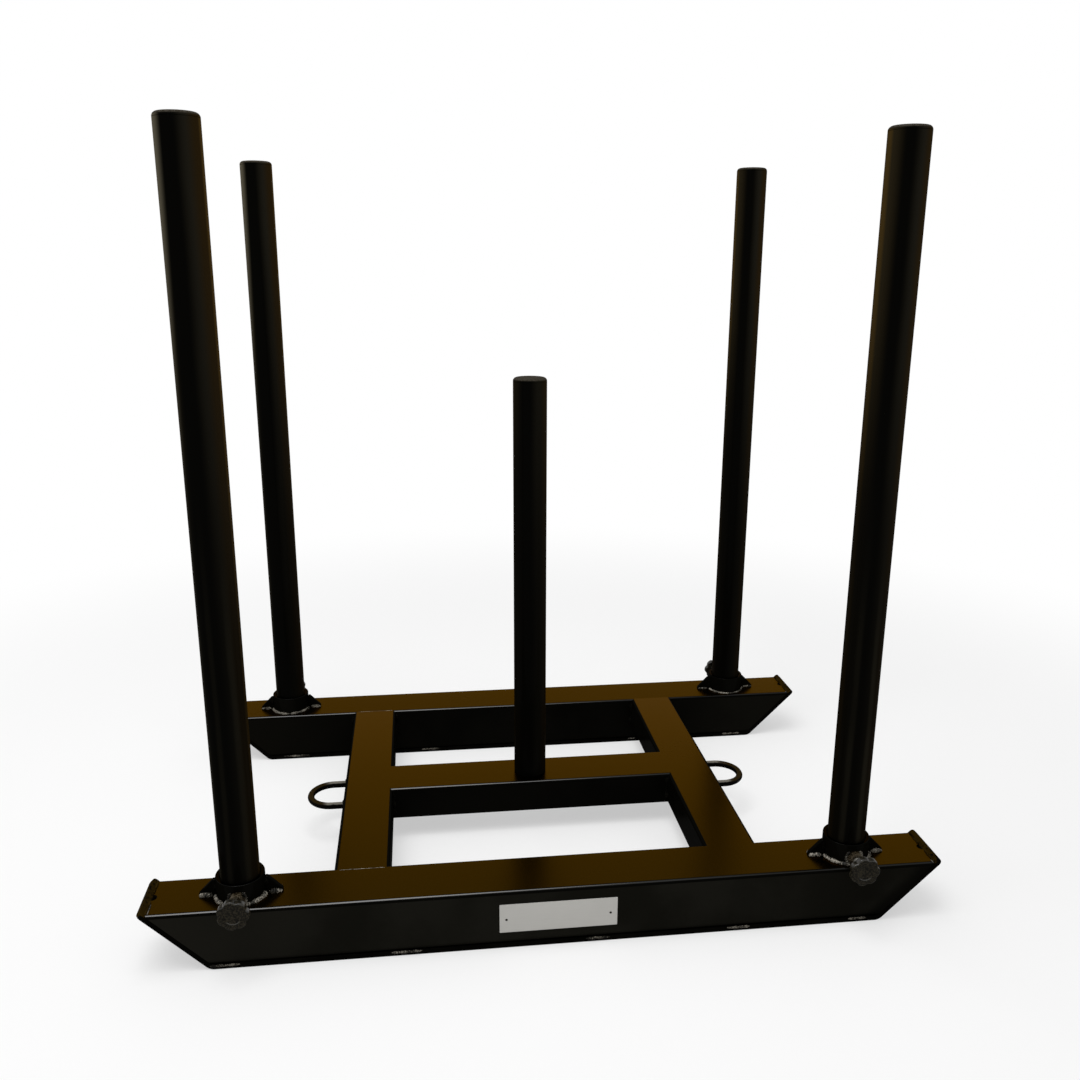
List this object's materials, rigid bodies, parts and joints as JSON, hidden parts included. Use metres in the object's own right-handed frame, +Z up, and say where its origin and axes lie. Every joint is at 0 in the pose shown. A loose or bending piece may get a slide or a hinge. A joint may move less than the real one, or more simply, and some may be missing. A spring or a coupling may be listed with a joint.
{
  "type": "weight sled",
  "caption": "Push and tow weight sled with mitred steel skids, clamped upright posts at its corners, a loading post in the middle and round-bar tow loops at its ends.",
  "frame": {"origin": "on the ground under the middle of the sled, where the undersides of both wear plates lie", "axes": "+X along the skids to the right, +Y across the sled from front to back, +Z up"},
  "size_m": [1.029, 0.6888, 0.994],
  "materials": {
    "frame_paint": "satin black powder coat",
    "wear_plate_paint": "dull black powder coat, worn by sliding",
    "post_paint": "smooth satin black powder coat",
    "cap_plastic": "moulded black plastic",
    "knob_plastic": "grained charcoal plastic",
    "stud_steel": "zinc-plated steel"
  },
  "bodies": {
    "frame": {"front_skid_tube": "frame_paint", "back_skid_tube": "frame_paint", "front_wear_plate": "wear_plate_paint", "back_wear_plate": "wear_plate_paint", "left_cross_tube": "frame_paint", "right_cross_tube": "frame_paint", "middle_tube": "frame_paint", "centre_post": "post_paint", "centre_post_cap": "cap_plastic", "left_tow_loop": "frame_paint", "right_tow_loop": "frame_paint", "front_left_socket": "frame_paint", "front_left_socket_gusset_left": "frame_paint", "front_left_socket_gusset_right": "frame_paint", "front_left_clamp_nut": "frame_paint", "front_right_socket": "frame_paint", "front_right_socket_gusset_left": "frame_paint", "front_right_socket_gusset_right": "frame_paint", "front_right_clamp_nut": "frame_paint", "back_left_socket": "frame_paint", "back_left_socket_gusset_left": "frame_paint", "back_left_socket_gusset_right": "frame_paint", "back_left_clamp_nut": "frame_paint", "back_right_socket": "frame_paint", "back_right_socket_gusset_left": "frame_paint", "back_right_socket_gusset_right": "frame_paint", "back_right_clamp_nut": "frame_paint"},
    "front_left_post": {"front_left_post": "post_paint", "front_left_post_cap": "cap_plastic"},
    "front_left_clamp_stud": {"front_left_clamp_stud": "stud_steel"},
    "front_left_clamp_knob": {"front_left_clamp_knob": "knob_plastic"},
    "front_right_post": {"front_right_post": "post_paint", "front_right_post_cap": "cap_plastic"},
    "front_right_clamp_stud": {"front_right_clamp_stud": "stud_steel"},
    "front_right_clamp_knob": {"front_right_clamp_knob": "knob_plastic"},
    "back_left_post": {"back_left_post": "post_paint", "back_left_post_cap": "cap_plastic"},
    "back_left_clamp_stud": {"back_left_clamp_stud": "stud_steel"},
    "back_left_clamp_knob": {"back_left_clamp_knob": "knob_plastic"},
    "back_right_post": {"back_right_post": "post_paint", "back_right_post_cap": "cap_plastic"},
    "back_right_clamp_stud": {"back_right_clamp_stud": "stud_steel"},
    "back_right_clamp_knob": {"back_right_clamp_knob": "knob_plastic"}
  },
  "joints": [
    {"name": "front_left_post_lift", "type": "slide", "parent": "frame", "child": "front_left_post", "axis": [0, 0, 1], "range_m": [0, 0.12]},
    {"name": "front_left_stud_travel", "type": "slide", "parent": "frame", "child": "front_left_clamp_stud", "axis": [0, -1, 0], "range_m": [0, 0.0046]},
    {"name": "front_left_knob_turn", "type": "hinge", "parent": "front_left_clamp_stud", "child": "front_left_clamp_knob", "pos_m": [-0.395, -0.3395, 0.0918], "axis": [0, -1, 0], "range_deg": [0, 1080]},
    {"name": "front_right_post_lift", "type": "slide", "parent": "frame", "child": "front_right_post", "axis": [0, 0, 1], "range_m": [0, 0.12]},
    {"name": "front_right_stud_travel", "type": "slide", "parent": "frame", "child": "front_right_clamp_stud", "axis": [0, -1, 0], "range_m": [0, 0.0046]},
    {"name": "front_right_knob_turn", "type": "hinge", "parent": "front_right_clamp_stud", "child": "front_right_clamp_knob", "pos_m": [0.395, -0.3395, 0.0918], "axis": [0, -1, 0], "range_deg": [0, 1080]},
    {"name": "back_left_post_lift", "type": "slide", "parent": "frame", "child": "back_left_post", "axis": [0, 0, 1], "range_m": [0, 0.12]},
    {"name": "back_left_stud_travel", "type": "slide", "parent": "frame", "child": "back_left_clamp_stud", "axis": [0, 1, 0], "range_m": [0, 0.0046]},
    {"name": "back_left_knob_turn", "type": "hinge", "parent": "back_left_clamp_stud", "child": "back_left_clamp_knob", "pos_m": [-0.395, 0.3395, 0.0918], "axis": [0, 1, 0], "range_deg": [0, 1080]},
    {"name": "back_right_post_lift", "type": "slide", "parent": "frame", "child": "back_right_post", "axis": [0, 0, 1], "range_m": [0, 0.12]},
    {"name": "back_right_stud_travel", "type": "slide", "parent": "frame", "child": "back_right_clamp_stud", "axis": [0, 1, 0], "range_m": [0, 0.0046]},
    {"name": "back_right_knob_turn", "type": "hinge", "parent": "back_right_clamp_stud", "child": "back_right_clamp_knob", "pos_m": [0.395, 0.3395, 0.0918], "axis": [0, 1, 0], "range_deg": [0, 1080]}
  ],
  "couplings": [
    {"joint": "front_left_stud_travel", "follows": "front_left_knob_turn", "m_per_rad": 0.00023873},
    {"joint": "front_right_stud_travel", "follows": "front_right_knob_turn", "m_per_rad": 0.00023873},
    {"joint": "back_left_stud_travel", "follows": "back_left_knob_turn", "m_per_rad": 0.00023873},
    {"joint": "back_right_stud_travel", "follows": "back_right_knob_turn", "m_per_rad": 0.00023873}
  ]
}
